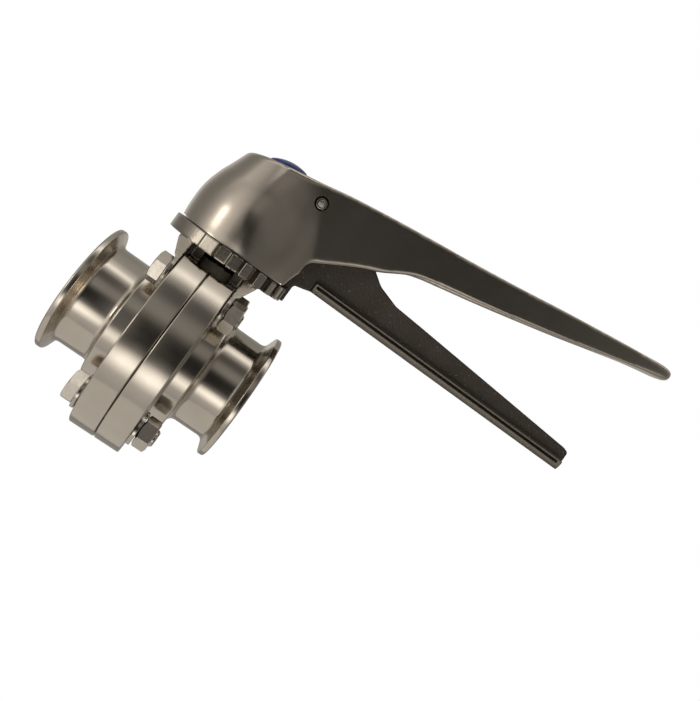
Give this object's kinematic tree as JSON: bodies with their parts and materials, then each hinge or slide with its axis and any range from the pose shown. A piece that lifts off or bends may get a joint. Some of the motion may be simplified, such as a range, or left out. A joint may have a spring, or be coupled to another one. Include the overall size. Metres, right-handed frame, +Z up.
{
  "type": "sanitary butterfly valve",
  "caption": "Clamp-end sanitary butterfly valve: bolted two-piece body, quarter-turn disc, notched index plate and a pull handle with a squeeze trigger.",
  "frame": {"origin": "where the pipe's axis and the stem's axis cross, in the middle of the split between the body halves", "axes": "+X along the pipe and along the handle when the valve is open, +Z up the stem, -Y the side that the handle swings to when it closes"},
  "size_m": [0.2536, 0.102, 0.1825],
  "materials": {
    "turned_steel": "turned stainless steel, fine lathe rings, satin to bright",
    "cast_steel": "cast stainless steel, linished by hand, soft satin sheen",
    "bright_steel": "bright stainless fasteners",
    "grey_cast": "rough dark grey casting, left as cast",
    "seat_rubber": "translucent white silicone, matt",
    "seal_rubber": "black rubber",
    "bush_plastic": "white low-friction plastic",
    "blue_plastic": "glossy blue plastic"
  },
  "bodies": {
    "valve_body": {"body_half_left": "turned_steel", "body_half_right": "turned_steel", "seat_ring": "seat_rubber", "upper_stem_bush": "bush_plastic", "lower_stem_bush": "bush_plastic", "stem_o_ring": "seal_rubber", "hex_bolt_1": "bright_steel", "hex_bolt_2": "bright_steel", "hex_bolt_3": "bright_steel", "hex_bolt_4": "bright_steel", "hex_nut_1": "bright_steel", "hex_nut_2": "bright_steel", "hex_nut_3": "bright_steel", "hex_nut_4": "bright_steel", "washer_left_3": "bright_steel", "washer_left_4": "bright_steel", "washer_right_3": "bright_steel", "washer_right_4": "bright_steel", "index_plate": "cast_steel"},
    "handle_and_disc": {"handle": "cast_steel", "valve_disc": "turned_steel", "indicator_cap": "blue_plastic", "trigger_pin": "bright_steel", "trigger_spring": "bright_steel", "stem_washer": "bright_steel", "stem_screw": "bright_steel"},
    "trigger_lever": {"trigger": "grey_cast"}
  },
  "joints": [
    {"name": "valve_turn", "type": "hinge", "parent": "valve_body", "child": "handle_and_disc", "pos_m": [0, 0, 0], "axis": [0, 0, 1], "range_deg": [-90, 0]},
    {"name": "trigger_squeeze", "type": "hinge", "parent": "handle_and_disc", "child": "trigger_lever", "pos_m": [0.0212, 0, 0.0933], "axis": [0, -1, 0], "range_deg": [0, 12], "stiffness_Nm_per_rad": 4, "springref_deg": -14.32, "deforming": ["trigger_spring"]}
  ]
}
